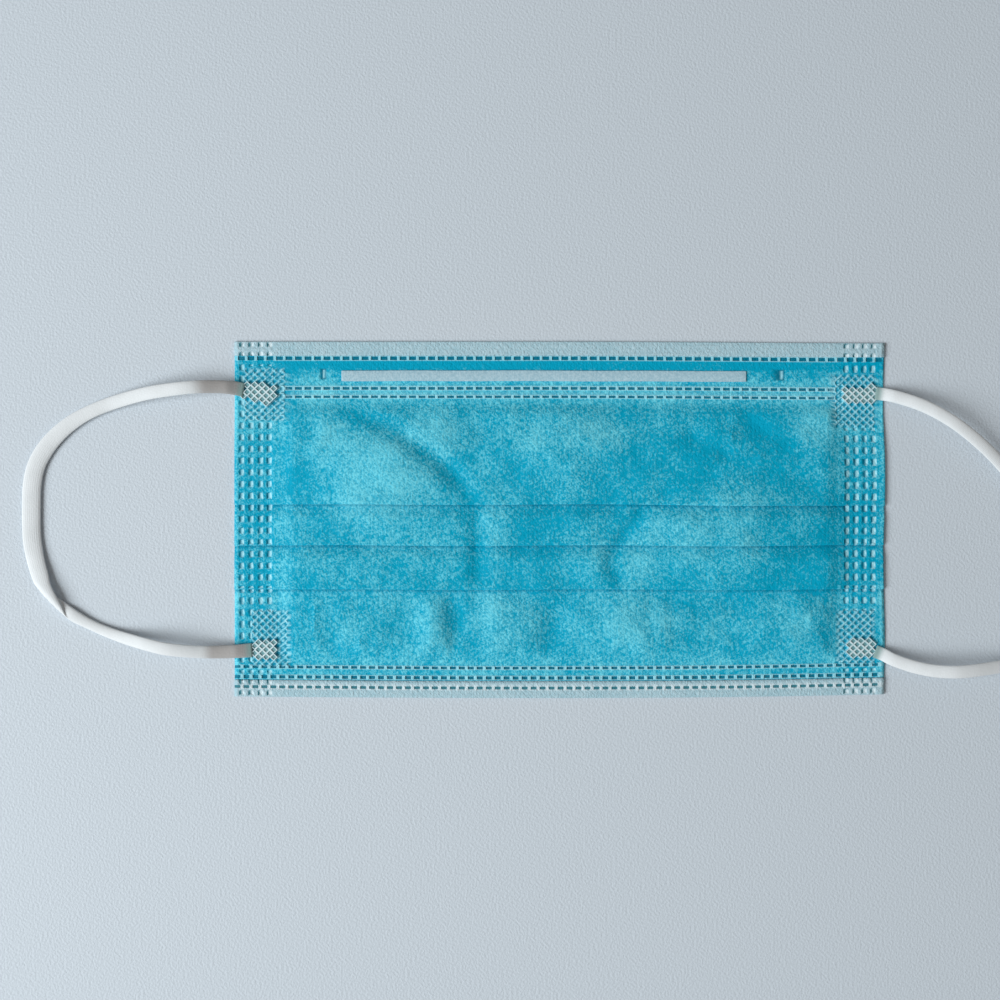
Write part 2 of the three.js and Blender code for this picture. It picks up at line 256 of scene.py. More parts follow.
# Frames along a line: the way, the left-hand side turned by the roll, and up out of the band
def bandFrames(line):
    way = np.gradient(line[:, :3], axis=0)
    way /= np.linalg.norm(way, axis=1)[:, None]
    side = np.cross((0, 0, 1), way)
    side /= np.linalg.norm(side, axis=1)[:, None]
    up = np.cross(way, side)
    roll = np.radians(line[:, 3])[:, None]
    return way, side * np.cos(roll) + up * np.sin(roll), up * np.cos(roll) - side * np.sin(roll)


# The flat fold in the left loop. across is positive on the inner side, out is the height on the upper face.
def foldedPlace(past, across, out):
    steep = math.radians(crease["steep"])
    flat = math.radians(crease["flat"])
    half = (steep - flat) / 2
    middle = (steep + flat) / 2
    along = np.array((math.cos(middle), -math.sin(middle)))
    outward = np.array((-math.sin(middle), -math.cos(middle)))
    radius = band["thickness"] / 2 + crease["bendGap"]
    height = 2 * radius + crease["lift"]
    corner = np.array(crease["corner"]) / mm - outward * math.pi * radius / 2
    a = past * math.cos(half) + across * math.sin(half)
    b = past * math.sin(half) - across * math.cos(half)
    turn = np.clip(b / radius, -math.pi / 2, math.pi / 2)
    straight = np.maximum(np.abs(b) - math.pi * radius / 2, 0)
    reach = (radius + out) * np.cos(turn) - straight
    flatPlace = corner + a[:, None] * along + reach[:, None] * outward
    return np.column_stack([flatPlace, height - (radius + out) * np.sin(turn)])


def bandSection():
    angles = np.arange(band["sides"]) * 2 * math.pi / band["sides"]
    power = 2 / band["edgePower"]
    across = np.sign(np.cos(angles)) * np.abs(np.cos(angles)) ** power * band["width"] / 2
    out = np.sign(np.sin(angles)) * np.abs(np.sin(angles)) ** power * band["thickness"] / 2
    return across, out


def makeLoop(name, route, folded, paintedShadeEnds):
    line, distances = smoothRoute(route, band["step"])
    across, out = bandSection()
    total = distances[-1]
    cornerAt = 0
    if folded:
        foldAt = np.array(crease["corner"]) / mm
        cornerAt = distances[np.argmin(np.linalg.norm(line[:, :2] - foldAt, axis=1))]
        byFold = np.abs(distances - cornerAt) < crease["reach"][1]
        line[byFold, 3] = np.where(distances[byFold] < cornerAt, 0, 180)
    way, side, up = bandFrames(line)
    bm = bmesh.new()
    alongLayer = bm.verts.layers.float.new("along")
    acrossLayer = bm.verts.layers.float.new("across")
    bondedLayer = bm.verts.layers.float.new("bonded")
    paintedShadeLayer = bm.verts.layers.float.new("paintedShade")
    spotLayer = bm.verts.layers.int.new("spot")  # the corner's number in its ring
    bmesh.ops.create_circle(bm, segments=band["sides"], radius=1, cap_ends=True)
    face = bm.faces[:][0]
    for spot, corner in enumerate(face.verts):
        corner[spotLayer] = spot
    for index, distance in enumerate(distances):
        if index:
            grown = bmesh.ops.extrude_face_region(bm, geom=[face])["geom"]
            if index > 1:
                bmesh.ops.delete(bm, geom=[face], context="FACES_ONLY")
            face = next(item for item in grown if isinstance(item, bmesh.types.BMFace))
        ring = sorted(face.verts, key=lambda corner: corner[spotLayer])
        fromEnd = min(distance, total - distance)
        taper = float(ease(fromEnd / band["endTaper"]))
        thin = band["endThin"] + (1 - band["endThin"]) * taper
        bonded = 1 - float(ease((fromEnd - band["bondedReach"]) / band["bondedEdge"]))
        # painted shade darkens the ends of a band, where they slope away from the light
        paintedShade = paintedShadeEnds * (1 - float(ease((fromEnd - band["paintedShadeReach"]) / band["paintedShadeEdge"])))
        wide = across * line[index, 4]
        places = line[index, :3] + wide[:, None] * side[index] + (out * thin)[:, None] * up[index]
        places[:, 2] -= band["endSink"] * (1 - taper)
        if folded:
            near, far = crease["reach"]
            share = 1 - float(ease((abs(distance - cornerAt) - near) / (far - near)))
            if share > 0:
                past = np.full(len(across), distance - cornerAt)
                places += share * (foldedPlace(past, wide, out * thin) - places)
        for corner, place, offset in zip(ring, places, across):
            corner.co = Vector(place) * mm
            corner[alongLayer] = distance
            corner[acrossLayer] = offset
            corner[bondedLayer] = bonded
            corner[paintedShadeLayer] = paintedShade
    bmesh.ops.recalc_face_normals(bm, faces=bm.faces[:])
    piece = meshFrom(bm, name)
    return piece, line[:, :3] * mm, total * mm


bandFinish = {
    "ribPitch": 0.42,
    "knitPitch": 0.55,
    "shade": (0.68, 0.71, 0.72, 1),
    "pale": (0.79, 0.82, 0.84, 1),
    # brown-grey painted shade for the ends of the left band
    "paintedShade": (0.40, 0.375, 0.36, 1),
    "bonded": (0.24, 0.36, 0.35, 1),
}


# The band's fine ribs run along it, and its face is a little fluffy.
def bandMaterial():
    finish = bandFinish
    material, tree, shader = newMaterial("white elastic", 0.8, 0.25, sheen=0.25)
    across = attribute(tree, "across")
    along = attribute(tree, "along")
    ribs = calc(tree, "SINE", calc(tree, "MULTIPLY", across, 2 * math.pi / finish["ribPitch"]))
    knit = calc(tree, "SINE", calc(tree, "MULTIPLY", along, 2 * math.pi / finish["knitPitch"]))
    place = placeInMm(tree)
    fluff = addNode(tree, "ShaderNodeTexNoise", {"Vector": place, "Scale": 2.2, "Detail": 3.0}).outputs[0]
    cloud = addNode(tree, "ShaderNodeTexNoise", {"Vector": place, "Scale": 0.2, "Detail": 1.0}).outputs[0]
    ridge = calc(tree, "ADD", ribs, calc(tree, "MULTIPLY", knit, 0.35))
    height = calc(tree, "ADD", calc(tree, "MULTIPLY", ridge, 0.12), fluff)
    colour = mixColours(tree, cloud, finish["shade"], finish["pale"])
    # painted shade on the band's ends
    colour = mixColours(tree, attribute(tree, "paintedShade"), colour, finish["paintedShade"])
    colour = mixColours(tree, attribute(tree, "bonded"), colour, finish["bonded"])
    tree.links.new(colour, shader.inputs["Base Color"])
    addBump(tree, shader, height, 0.12 * mm, 0.6)
    return material


# The last value is how strongly painted shade darkens a band at both ends
loops = [
    {"name": "left_ear_band", "node": "left_ear_loop", "route": leftRoute, "folded": True, "paintedShade": 0.85},
    {"name": "right_ear_band", "node": "right_ear_loop", "route": rightRoute, "folded": False, "paintedShade": 0.0},
]
whiteElastic = bandMaterial()
for row in loops:
    loop, path, length = makeLoop(row["name"], row["route"], row["folded"], row["paintedShade"])
    setPiece(loop, "elastic_band", whiteElastic, row["node"])
    print(loop.name, round(length, 4), "m long")

# pleated cloth
print("pleated cloth")
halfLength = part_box("pleated_body")[1].x / mm
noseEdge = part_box("top_hem")[1].y / mm
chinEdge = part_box("bottom_hem")[0].y / mm
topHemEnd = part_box("top_hem")[0].y / mm
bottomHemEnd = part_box("bottom_hem")[1].y / mm

sheetLook = {
    "lowLevel": 0.28,  # height of the middle of the plies where one run lies on the surface
    "levelStep": 0.56,  # from one run of the stack to the next
    "plyOffset": 0.12,  # each ply's middle from the middle of the plies
    "plyWall": 0.14,
    "innerFollows": 0.88,  # how far the white ply rises with the blue one's swellings
    "climb": 4.6,  # a panel climbs over the pleat behind it in this width
    "arcSteps": 3,
    "tuck": 0.7,  # the next panel starts this far behind a front fold
    "sealPressing": 0.5,  # share of a stack's height that is left in a seal
    "looseFrom": 76.4,  # the cloth is loose inside this distance from the middle
    "sealRamp": 2.0,
    "looseRamp": 6.0,
    "looseNose": 31.8,  # it is held above this line, and below the chin's
    "noseRamp": 4.0,
    "looseChin": -39.0,
    "chinRamp": 5.0,
    "blueShown": 44.2,  # the white hem covers the blue cloth above this line
    "hemSteps": 6,
    "hemGap": 0.14,  # between the blue ply and the hem over it
}
clothTop = sheetLook["lowLevel"] + sheetLook["plyOffset"] + sheetLook["plyWall"] / 2
# The closest and the widest that the grids' lines may lie
gridLook = {
    "closest": 0.12,
    "rows": 1.25,
    "columns": 2.1,
    "whiteRows": 1.3,
    "whiteColumns": 1.15,
    "hemRows": 1.1,
}
# front is where a pleat's front fold shows, hidden how far the cloth runs back behind it. climb replaces
# the sheet's own climb where a panel comes up more gently.
pleats = [
    {"front": 3.8, "hidden": 12.6, "climb": 14.0},
    {"front": -7.2, "hidden": 8.0},
    {"front": -19.0, "hidden": 8.6},
]
topDash = {"start": -29.25, "pitch": 2.563, "length": 2.0}
bottomDash = {"start": -74.6, "pitch": 2.418, "length": 1.75}
sideDash = {"start": 47.14, "pitch": 3.14, "length": 2.2, "width": 1.6}
sideColumns = [-85.6, -83.1, -80.5, -78.1, 77.2, 79.7, 82.1, 84.5]
# Rows of weld dashes along the mask. top and bottom bound a row, ends is its reach on both sides, and dash
# gives its dashes.
topSeams = [
    {"top": 43.9, "bottom": 42.75, "ends": 87.0, "dash": topDash},
    {"top": 35.8, "bottom": 34.75, "ends": 74.5, "dash": topDash},
    {"top": 33.35, "bottom": 32.55, "ends": 74.5, "dash": topDash},
]
bottomSeams = [
    {"top": -39.3, "bottom": -40.15, "ends": 87.0, "dash": bottomDash},
    {"top": -41.9, "bottom": -42.9, "ends": 87.0, "dash": bottomDash},
]
hemSeams = [{"top": -44.65, "bottom": -45.55, "ends": 87.0, "dash": bottomDash}]


def inDash(place, dash):
    turns = (place - dash["start"]) / dash["pitch"]
    return abs(turns - round(turns)) * dash["pitch"] < dash["length"] / 2


def dashEdges(dash, low, high):
    first = math.ceil((low - dash["start"]) / dash["pitch"])
    last = math.floor((high - dash["start"]) / dash["pitch"])
    middles = [dash["start"] + index * dash["pitch"] for index in range(first, last + 1)]
    return [(middle - dash["length"] / 2, middle + dash["length"] / 2) for middle in middles]


# Sorted lines from the edges of the dashes: close ones are joined, wide gaps are divided.
def gridLines(low, high, wanted, widest):
    closest = gridLook["closest"]
    lines = [low]
    for place in sorted(wanted):
        if place - lines[-1] > closest and high - place > closest:
            lines.append(place)
    lines.append(high)
    full = [low]
    for place in lines[1:]:
        parts = math.ceil((place - full[-1]) / widest)
        start = full[-1]
        full.extend(start + (place - start) * (part + 1) / parts for part in range(parts))
    return full


# Rows of the cloth's section from the nose to the chin: y, z, and how far it follows the swellings.
# That is 1 only where it shows.
def sectionRows(startY, endY, seenLines):
    look = sheetLook
    low = look["lowLevel"]
    top = low + 2 * look["levelStep"]
    radius = look["levelStep"] / 2
    outside = look["plyOffset"] + look["plyWall"] / 2
    rows = []
    beginY = startY
    for number, pleat in enumerate(pleats):
        back = pleat["front"] + pleat["hidden"]
        frontAxis = pleat["front"] + radius + outside
        climb = pleat.get("climb", look["climb"])
        footY = min(back + climb, beginY)
        for y in [line for line in reversed(seenLines) if frontAxis + 0.1 < line <= beginY]:
            climbed = float(ease((footY - y) / climb))
            rows.append((y, low + climbed * (top - low), 1.0))
        backAxis = back - radius
        for index in range(look["arcSteps"] + 1):
            angle = math.radians(90 + 180 * index / look["arcSteps"])
            rows.append((frontAxis + radius * math.cos(angle), top - radius + radius * math.sin(angle), 1.0))
        for share in (0.15, 0.45, 0.75):
            rows.append((frontAxis + share * (backAxis - frontAxis), top - 2 * radius, 0.85 * (1 - share)))
        for index in range(look["arcSteps"] + 1):
            angle = math.radians(90 - 180 * index / look["arcSteps"])
            rows.append((backAxis + radius * math.cos(angle), low + radius + radius * math.sin(angle), 0.0))
        for share in (0.33, 0.67):
            rows.append((backAxis + share * (pleat["front"] + 0.9 - backAxis), low, 0.75 * share))
        beginY = pleat["front"] + look["tuck"]
    for y in [line for line in reversed(seenLines) if endY <= line <= beginY]:
        rows.append((y, low, 1.0))
    return rows


# Sets the rows off to one ply's middle. A positive offset is the blue ply's, on the outer face.
def offsetRows(rows, offset):
    places = np.array([row[:2] for row in rows])
    way = np.gradient(places, axis=0)
    way /= np.maximum(np.linalg.norm(way, axis=1), 1e-6)[:, None]
    lifts = places[:, 1] - sheetLook["lowLevel"]
    return [
        (y + offset * t[1], z - offset * t[0], free, lift)
        for (y, z, free), t, lift in zip(rows, way, lifts)
    ]


# free is how far a corner follows the swellings, lift its height over one run on the surface. The third layer
# marks welds and painted shade, the last painted highlights and paler ridges.
def newCloth():
    bm = bmesh.new()
    for layer in ("free", "lift", "weld", "paleAndGlint"):
        bm.verts.layers.float.new(layer)
    return bm


# A grid of the given columns and rows (rows from the nose to the chin), facing up
def addSheetGrid(bm, columns, rows):
    freeLayer = bm.verts.layers.float["free"]
    liftLayer = bm.verts.layers.float["lift"]
    rows = rows[::-1]
    made = bmesh.ops.create_grid(bm, x_segments=len(columns) - 1, y_segments=len(rows) - 1, size=1)["verts"]
    cells = {}
    for index, corner in enumerate(made):
        row, column = divmod(index, len(columns))
        y, z, free, lift = rows[row]
        corner.co = Vector((columns[column], y, z))
        corner[freeLayer] = free
        corner[liftLayer] = lift
    for face in {face for corner in made for face in corner.link_faces}:
        spots = face.calc_center_median()
        cells[face] = (spots.x, spots.y)
    return made, cells


# Faces of the grid that lie in a dash and show: those of the seams, and those of the side seals
def dashFaces(bm, cells, seams, shownTop):
    freeLayer = bm.verts.layers.float["free"]
    inSeams, inSeals = [], []
    for face, (x, y) in cells.items():
        if min(corner[freeLayer] for corner in face.verts) < 1 or face.normal.z < 0.8 or y > shownTop:
            continue
        rows = [seam for seam in seams if seam["bottom"] < y < seam["top"] and abs(x) < seam["ends"]]
        if any(inDash(x, seam["dash"]) for seam in rows):
            inSeams.append(face)
            continue
        if any(seam["bottom"] - 0.2 < y < seam["top"] + 0.2 for seam in seams):
            continue
        beside = any(abs(x - column) < sideDash["width"] / 2 for column in sideColumns)
        if beside and inDash(y, sideDash) and not inPatch(x, y):
            inSeals.append(face)
    return inSeams, inSeals


# Each step of a pressed dash is a wall's width and its depth.
seamSteps = ((0.04, -0.05), (0.07, -0.12))
sealSteps = ((0.1, -0.03), (0.36, -0.13))


# Presses dashes in, and gives back the corners of their floors and walls.
def pressDashes(bm, faces, steps):
    corners = set()
    for thickness, depth in steps:
        bmesh.ops.inset_region(bm, faces=faces, thickness=thickness, depth=depth, use_even_offset=True)
        corners.update(corner for face in faces for corner in face.verts)
    return corners


def pressSeams(bm, faces):
    weld = bm.verts.layers.float["weld"]
    for corner in pressDashes(bm, faces, seamSteps):
        corner[weld] = 1


# A side dash gets painted shade along its left wall and a painted highlight along its right one.
def pressSeals(bm, faces):
    weld = bm.verts.layers.float["weld"]
    paleAndGlint = bm.verts.layers.float["paleAndGlint"]
    for corner in pressDashes(bm, faces, sealSteps):
        column = min(sideColumns, key=lambda x: abs(x - corner.co.x))
        corner[weld if corner.co.x < column - 0.1 else paleAndGlint] = 1


# knurled patches round the welds, in millimetres from the pad's middle
knurl = {
    "width": 2.05,
    "height": 1.95,
    "depth": 0.14,
    "rise": 0.13,
    "ridgeFrom": 0.6,  # share of the way from a pit's middle to its edge where the ridge starts
    "ridgeRamp": 0.32,
    "edge": 0.8,
    "cuts": 2,
}
patches = [
    {"node": "upper_left_weld", "outer": 4.9, "inner": 6.2, "up": 6.8, "down": 7.3},
    {"node": "lower_left_weld", "outer": 4.0, "inner": 6.6, "up": 10.7, "down": 4.3},
    {"node": "upper_right_weld", "outer": 5.4, "inner": 5.9, "up": 5.6, "down": 8.6},
    {"node": "lower_right_weld", "outer": 4.8, "inner": 5.4, "up": 10.5, "down": 4.1},
]
for patch in patches:
    low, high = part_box(patch["node"])
    middle = (low + high) / 2 / mm
    side = 1 if middle.x > 0 else -1
    reachX = sorted((middle.x + side * patch["outer"], middle.x - side * patch["inner"]))
    patch["x"] = reachX
    patch["y"] = (middle.y - patch["down"], middle.y + patch["up"])


def inPatch(x, y):
    return any(p["x"][0] < x < p["x"][1] and p["y"][0] < y < p["y"][1] for p in patches)


# 1 inside a soft-edged box, 0 outside
def softBox(x, y, boundsX, boundsY, edge):
    insideX = ease((x - boundsX[0]) / edge + 0.5) * ease((boundsX[1] - x) / edge + 0.5)
    return insideX * ease((y - boundsY[0]) / edge + 0.5) * ease((boundsY[1] - y) / edge + 0.5)


# 1 on the knurl's crossing ridges, 0 in its pits
def knurlRidges(x, y):
    first = x / knurl["width"] + y / knurl["height"]
    second = x / knurl["width"] - y / knurl["height"]
    ridge = np.maximum(np.abs(first % 1 - 0.5), np.abs(second % 1 - 0.5)) * 2
    return ease((ridge - knurl["ridgeFrom"]) / knurl["ridgeRamp"])


def patchMask(x, y):
    return sum(softBox(x, y, patch["x"], patch["y"], knurl["edge"]) for patch in patches)


# Stop marks pressed at the ends of the strip's pocket
stopMarks = [
    {"x": -63.6, "y": 39.1, "width": 1.5, "height": 2.9},
    {"x": 59.6, "y": 39.1, "width": 1.9, "height": 2.9},
]
markLook = {
    "depth": 0.15,
    "edge": 0.5,
    "highlightX": (-0.1, 0.45),  # the painted highlight's reach from the mark's middle
    "highlightInset": 0.35,
    "paintEdge": 0.3,
    "reach": (1.2, 1.8),  # the grid is finer this far round a mark
    "cuts": 3,
}
rimHalf = 0.46  # half the width of the ridge between two dashes
rimRise = 0.12


def markBounds(mark):
    halfX, halfY = mark["width"] / 2, mark["height"] / 2
    return (mark["x"] - halfX, mark["x"] + halfX), (mark["y"] - halfY, mark["y"] + halfY)


# The pressed knurls and marks, as a depth in millimetres
def pressedDepth(x, y):
    ridges = knurlRidges(x, y)
    depth = patchMask(x, y) * (knurl["depth"] - (knurl["depth"] + knurl["rise"]) * ridges)
    for mark in stopMarks:
        depth += markLook["depth"] * softBox(x, y, *markBounds(mark), markLook["edge"])
    return depth - rimRise * seamRims(x, y, topSeams + bottomSeams)


looseLook = {"puff": 1.1, "swellings": 1.15, "creases": 1.0, "broad": 0.45, "middle": 0.22, "small": 0.1}
# Swellings of the loose cloth: a middle, its reach both ways and its rise
swellings = [
    {"x": -47.0, "y": 13.0, "reachX": 26.0, "reachY": 20.0, "rise": 1.9},
    {"x": 44.0, "y": -3.0, "reachX": 30.0, "reachY": 21.5, "rise": 1.7},
    {"x": 2.0, "y": 21.0, "reachX": 20.0, "reachY": 14.0, "rise": 0.9},
    {"x": 10.0, "y": -10.5, "reachX": 13.0, "reachY": 9.5, "rise": 0.6},
    {"x": -52.0, "y": -31.0, "reachX": 11.0, "reachY": 9.0, "rise": 0.6},
    {"x": -34.5, "y": -29.0, "reachX": 8.0, "reachY": 12.0, "rise": 0.9},
    {"x": -14.5, "y": -29.0, "reachX": 13.0, "reachY": 12.0, "rise": 1.1},
    {"x": 20.0, "y": -29.0, "reachX": 20.0, "reachY": 12.0, "rise": 1.2},
    {"x": 61.0, "y": -28.0, "reachX": 14.0, "reachY": 11.0, "rise": 0.9},
]
# Creases of the loose cloth: their way, half their width and their rise, below nought for a valley
creases = [
    {
        "way": [(-61.6, 33), (-46, 24.5), (-36, 18.5), (-29.4, 13.2), (-24.6, 7.9), (-22.4, 3.9)],
        "half": 2.6,
        "rise": -1.0,
    },
    {"way": [(-22.2, 3.9), (-22.0, -7), (-21.8, -19)], "half": 1.9, "rise": -0.65},
    {"way": [(-22.0, -19), (-20.9, -26), (-20.0, -33)], "half": 2.4, "rise": -0.3},
    {"way": [(44.5, 13.8), (35.0, 9.6), (26.2, 5.2), (23.2, 3.7)], "half": 2.2, "rise": -0.7},
    {"way": [(23.2, 3.4), (18.5, -3.2), (15.8, -7)], "half": 2.0, "rise": -0.75},
    {"way": [(15.4, -7.4), (13.6, -12.8), (16.8, -18.6)], "half": 1.9, "rise": -0.75},
    {"way": [(3.9, 17), (2.4, 11), (-0.1, 4.1)], "half": 0.7, "rise": 0.22},
    {"way": [(47.7, 30.4), (45.9, 23.7), (45.9, 20.6), (49, 16.9)], "half": 0.8, "rise": 0.3},
    {"way": [(49, 16.9), (50.7, 17.6), (50.9, 21)], "half": 0.6, "rise": 0.25},
    {"way": [(53, 20), (53.9, 16.3), (53.9, 13.2), (52.7, 9.5)], "half": 0.6, "rise": 0.28},
    {"way": [(34, 22.5), (41, 19), (47, 17.5)], "half": 2.6, "rise": -0.5},
    {"way": [(50, 29), (55, 23), (64, 18)], "half": 2.8, "rise": -0.5},
    {"way": [(71.2, 31), (73.4, 24), (74.5, 17.5)], "half": 1.6, "rise": 0.45},
    {"way": [(-64.6, 29), (-63.4, 23), (-65.5, 17)], "half": 2.0, "rise": 0.4},
    {"way": [(34.8, -20.5), (35.1, -26.8), (36.2, -32)], "half": 0.9, "rise": 0.32},
    {"way": [(45.9, -24.4), (41.5, -27), (37.9, -30.5)], "half": 1.0, "rise": 0.3},
    {"way": [(60.1, -28), (61.6, -31.5), (64.4, -35.8)], "half": 0.7, "rise": 0.32},
    {"way": [(66.2, -25), (68.6, -30), (71.6, -36)], "half": 0.8, "rise": 0.38},
    {"way": [(61.4, -20), (62.2, -25), (60.6, -29)], "half": 1.0, "rise": -0.35},
    {"way": [(56.4, -30), (53.5, -32.5), (50.8, -36)], "half": 0.9, "rise": 0.25},
    {"way": [(-66.3, -20), (-65.5, -26.5), (-66.4, -32.5)], "half": 0.7, "rise": 0.38},
    {"way": [(-60.9, -27.4), (-58.5, -24.5), (-55, -22)], "half": 1.0, "rise": 0.3},
    {"way": [(-50.4, -23.9), (-44.6, -26.2), (-41.1, -29.7)], "half": 1.0, "rise": 0.26},
    {"way": [(-34.8, -20), (-34.4, -27), (-33.6, -36)], "half": 2.0, "rise": 0.35},
    {"way": [(-29.2, -19.5), (-28.4, -27), (-27.5, -35)], "half": 2.0, "rise": -0.45},
    {"way": [(-0.9, -19.5), (-1.6, -28), (-2.5, -37)], "half": 3.4, "rise": -0.55},
    {"way": [(23.8, -20), (24.6, -28), (25.5, -37)], "half": 1.2, "rise": -0.32},
    {"way": [(29.6, -20), (30.2, -28), (31, -36)], "half": 1.3, "rise": -0.3},
]
gathers = {
    "from": -72.0,
    "to": -24.0,
    "pitch": 2.3,
    "top": -29.5,
    "bottom": -38.0,
    "rise": 0.26,
    "half": 0.55,
    "seed": 5,
}


def gatherCreases():
    draw = random.Random(gathers["seed"])
    rows = []
    x = gathers["from"]
    while x < gathers["to"]:
        lean = draw.uniform(-1.2, 1.2)
        top = gathers["top"] - draw.uniform(0, 3.5)
        way = [(x, top), (x + lean / 2, (top + gathers["bottom"]) / 2), (x + lean, gathers["bottom"])]
        rise = gathers["rise"] * draw.uniform(0.4, 1.2)
        rows.append({"way": way, "half": gathers["half"] * draw.uniform(0.8, 1.5), "rise": rise})
        x += gathers["pitch"] * draw.uniform(0.6, 1.5)
    return rows


creases += gatherCreases()


# How far each point lies from a crease, and how far along it, as a share
def distanceTo(way, x, y):
    best = np.full_like(x, 1e6)
    share = np.zeros_like(x)
    lengths = [math.dist(a, b) for a, b in zip(way, way[1:])]
    travelled = 0.0
    for (ax, ay), (bx, by), length in zip(way, way[1:], lengths):
        dx, dy = (bx - ax) / length, (by - ay) / length
        t = np.clip((x - ax) * dx + (y - ay) * dy, 0, length)
        away = np.hypot(x - ax - t * dx, y - ay - t * dy)
        nearer = away < best
        best = np.where(nearer, away, best)
        share = np.where(nearer, (travelled + t) / sum(lengths), share)
        travelled += length
    return best, share


# The loose cloth's height over its flat place
def looseRise(x, y):
    look = looseLook
    rise = np.full_like(x, look["puff"])
    for swelling in swellings:
        u = (x - swelling["x"]) / swelling["reachX"]
        v = (y - swelling["y"]) / swelling["reachY"]
        rise += look["swellings"] * swelling["rise"] * np.maximum(0, 1 - u * u - v * v) ** 2
    for row in creases:
        away, share = distanceTo(row["way"], x, y)
        ends = ease(share / 0.2) * ease((1 - share) / 0.2) * 0.75 + 0.25
        rise += look["creases"] * row["rise"] * ends * np.exp(-((away / row["half"]) ** 2))
    places = [Vector((a, b, 0)) for a, b in zip(x, y)]
    broad = np.array([noise.noise(place * 0.11) for place in places])
    middle = np.array([noise.noise(place * 0.3 + Vector((40, 0, 0))) for place in places])
    small = np.array([noise.noise(place * 0.75 + Vector((0, 70, 0))) for place in places])
    rise += look["broad"] * broad + look["middle"] * middle + look["small"] * small
    return np.maximum(rise, 0.0)


# How loose the cloth is: 0 in the seals and hems, 1 in the middle
def looseShare(x, y):
    look = sheetLook
    sides = ease((look["looseFrom"] - np.abs(x)) / look["looseRamp"])
    nose = ease((look["looseNose"] - y) / look["noseRamp"])
    return sides * nose * ease((y - look["looseChin"]) / look["chinRamp"])


# The mask is a little out of square: its right end is narrower, and its chin edge bows.
def warp(x, y):
    across = x / halfLength
    right = np.maximum(across, 0)
    top = -0.42 * ease(right) * ease((y + 8) / 12)
    chin = (0.55 * right**2 - 0.45 * (1 - across**2)) * ease((-20 - y) / 18)
    wave = 0.12 * np.sin(x / 11.0 + 0.7) * np.exp(-((y + 8) / 22.0) ** 2)
    margin = ease((x - 70) / 17) * 0.22 * np.sin(y / 7.0)
    return x + margin, y + top + chin + wave


# How pale the blue cloth is: one run over the surface is paler than a stack, and some places are cloudy.
paleSpots = [
    {"x": -63.0, "y": 23.0, "reachX": 5.0, "reachY": 10.0, "tone": 0.2},
    {"x": 70.5, "y": 24.0, "reachX": 5.5, "reachY": 8.0, "tone": 0.35},
    {"x": -31.0, "y": 22.0, "reachX": 12.0, "reachY": 8.0, "tone": 0.15},
    {"x": -48.0, "y": -6.0, "reachX": 26.0, "reachY": 13.0, "tone": 0.28},
    {"x": -18.5, "y": -4.0, "reachX": 4.0, "reachY": 20.0, "tone": 0.3},
    {"x": 58.0, "y": -12.0, "reachX": 22.0, "reachY": 20.0, "tone": -0.25},
    {"x": 21.0, "y": -13.0, "reachX": 6.0, "reachY": 6.0, "tone": 0.4},
    {"x": 54.0, "y": 24.0, "reachX": 8.0, "reachY": 6.0, "tone": -0.35},
    {"x": 40.0, "y": 20.0, "reachX": 9.0, "reachY": 4.5, "tone": -0.3},
]
# Deeper and paler bands along the nose edge
toneBands = [
    {"x": (-76, 90), "y": (40.5, 43), "tone": -0.6},
    {"x": (-90, 90), "y": (38.3, 44), "tone": -0.25},
    {"x": (-72, 72), "y": (32, 37), "tone": 0.1},
]
toneLook = {
    "byRise": 0.34,
    "evenRise": 1.7,
    "bandEdge": 0.8,
    # where one run starts above the pleats and below them, with its ramp, in the panel and in the seals
    "panelEnds": ((14, 9), (-18.6, 1.5)),
    "sealEnds": ((16.0, 1.2), (-19.0, 1.2)),
    "single": 0.18,
    "seal": 0.3,
    "sealEven": 0.75,
    "sealFrom": 75.5,
    "sealRamp": 2,
    "margin": 0.35,
    "marginFrom": 86.0,
    "marginRamp": 0.6,
    "ridge": 0.9,
    "pit": 0.6,
    "foldDark": 0.6,
    "foldHalf": 0.3,
    "pitDark": 0.5,
    "rimBright": 0.8,
}


# The ridges between the dashes of seams
def seamRims(x, y, seams):
    rims = np.zeros_like(x)
    for seam in seams:
        dash = seam["dash"]
        phase = ((x - dash["start"]) / dash["pitch"] + 0.5) % 1
        gap = ease((np.abs(phase - 0.5) * dash["pitch"] - dash["pitch"] / 2 + rimHalf) / 0.1)
        ends = (-seam["ends"], seam["ends"])
        rims += gap * softBox(x, y, ends, (seam["bottom"] - 0.1, seam["top"] + 0.1), 0.2)
    return rims


def readPlaces(mesh):
    places = np.empty(len(mesh.vertices) * 3)
    mesh.vertices.foreach_get("co", places)
    return places.reshape(-1, 3).T


def readLayer(mesh, name):
    values = np.empty(len(mesh.vertices))
    mesh.attributes[name].data.foreach_get("value", values)
    return values


def writeLayer(mesh, name, values):
    layer = mesh.attributes.get(name) or mesh.attributes.new(name, "FLOAT", "POINT")
    layer.data.foreach_set("value", values.astype(np.float32))


# 1 where one run of the cloth lies on the surface
def singleRun(y, ends):
    (above, aboveRamp), (below, belowRamp) = ends
    return ease((y - above) / aboveRamp) + ease((below - y) / belowRamp)
